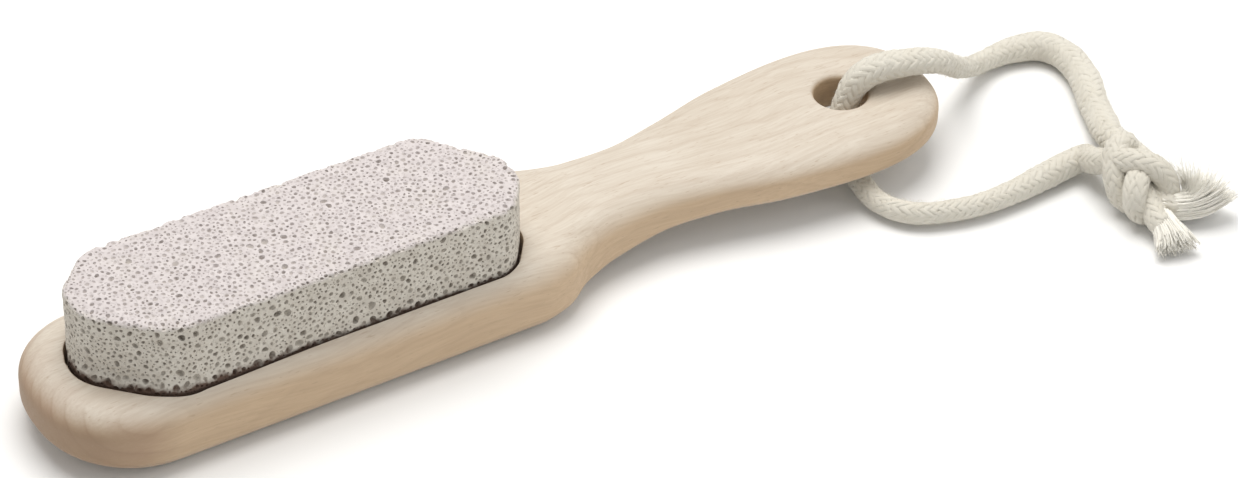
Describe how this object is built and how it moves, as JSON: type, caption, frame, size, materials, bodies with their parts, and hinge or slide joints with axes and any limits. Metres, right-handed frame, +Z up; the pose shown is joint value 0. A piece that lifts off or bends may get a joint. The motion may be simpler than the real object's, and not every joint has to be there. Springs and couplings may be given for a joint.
{
  "type": "pumice stone",
  "caption": "Long pumice foot stone set in the head of a wooden paddle handle, with a cotton cord looped through the grip's end and knotted.",
  "frame": {"origin": "on the surface the handle lies on, under the middle of its length, between the stone's tip and the grip's tip", "axes": "+X along the handle from the stone towards the cord hole, +Z up out of the stone's rubbing face, +Y across the handle"},
  "size_m": [0.2529, 0.0901, 0.0312],
  "materials": {
    "stone": "rough, full of small open pores",
    "wood": "sanded smooth, pale and unvarnished",
    "cotton": "soft braided cotton, undyed"
  },
  "bodies": {
    "root": {"pumice_stone": "stone", "handle": "wood", "cord_loop": "cotton", "cord_knot": "cotton", "cord_tail_upper": "cotton", "cord_tail_lower": "cotton"}
  },
  "joints": []
}
